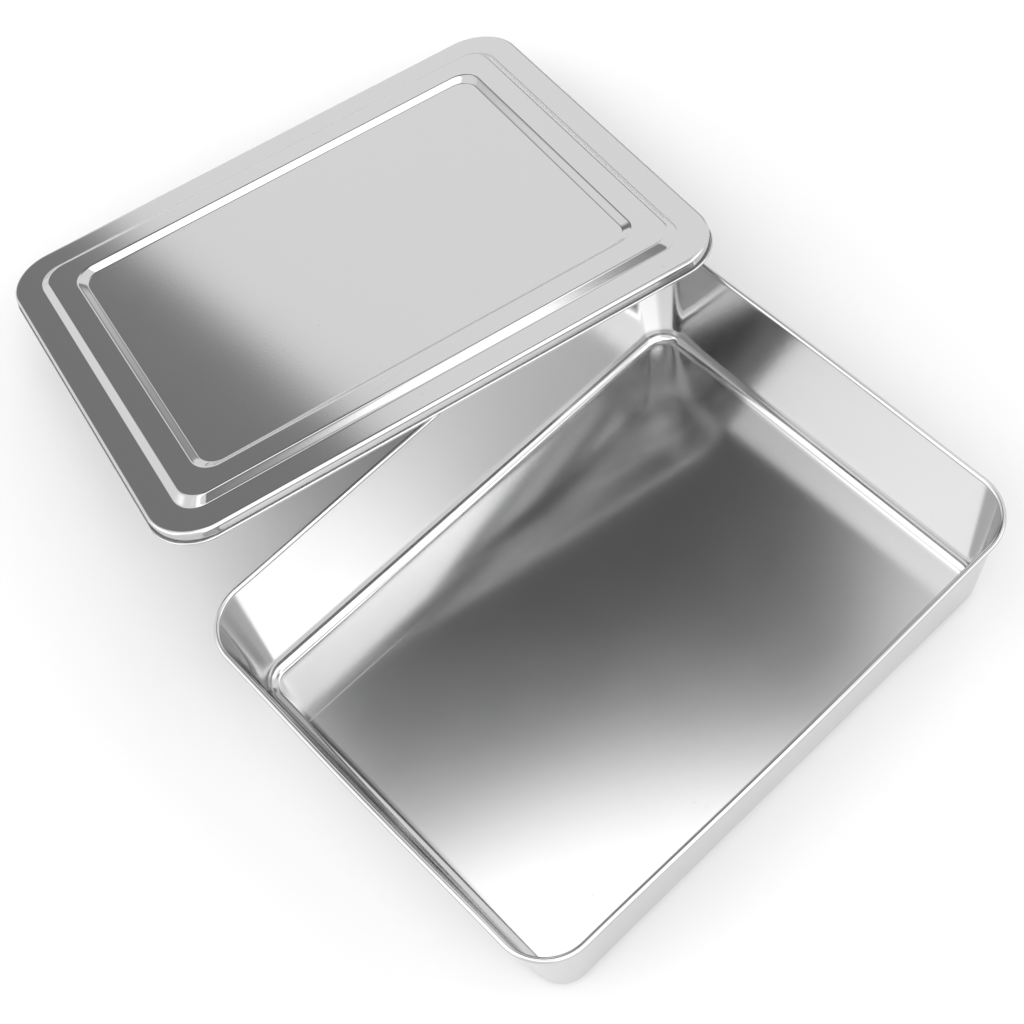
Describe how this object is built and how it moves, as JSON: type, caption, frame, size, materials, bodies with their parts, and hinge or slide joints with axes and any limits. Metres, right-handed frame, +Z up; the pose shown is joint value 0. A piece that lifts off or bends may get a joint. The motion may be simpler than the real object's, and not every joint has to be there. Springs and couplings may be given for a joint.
{
  "type": "instrument tray",
  "caption": "Rectangular drawn steel instrument tray with sloping walls and a curled rim, and its loose stepped lid lifted off and held tilted behind it.",
  "frame": {"origin": "centre of the pan's flat underside", "axes": "+X along the long side, +Y across towards the lifted lid, +Z up out of the pan"},
  "size_m": [0.4197, 0.5738, 0.1237],
  "materials": {
    "pan_steel": "satin pressed stainless steel",
    "lid_steel": "satin pressed stainless steel"
  },
  "bodies": {
    "pan": {"pan": "pan_steel"},
    "lid": {"lid": "lid_steel"}
  },
  "joints": [
    {"name": "lid_carry", "type": "slide", "parent": "pan", "child": "lid", "axis": [-0.1409, -0.9522, 0.271], "range_m": [0, 0.276]}
  ]
}
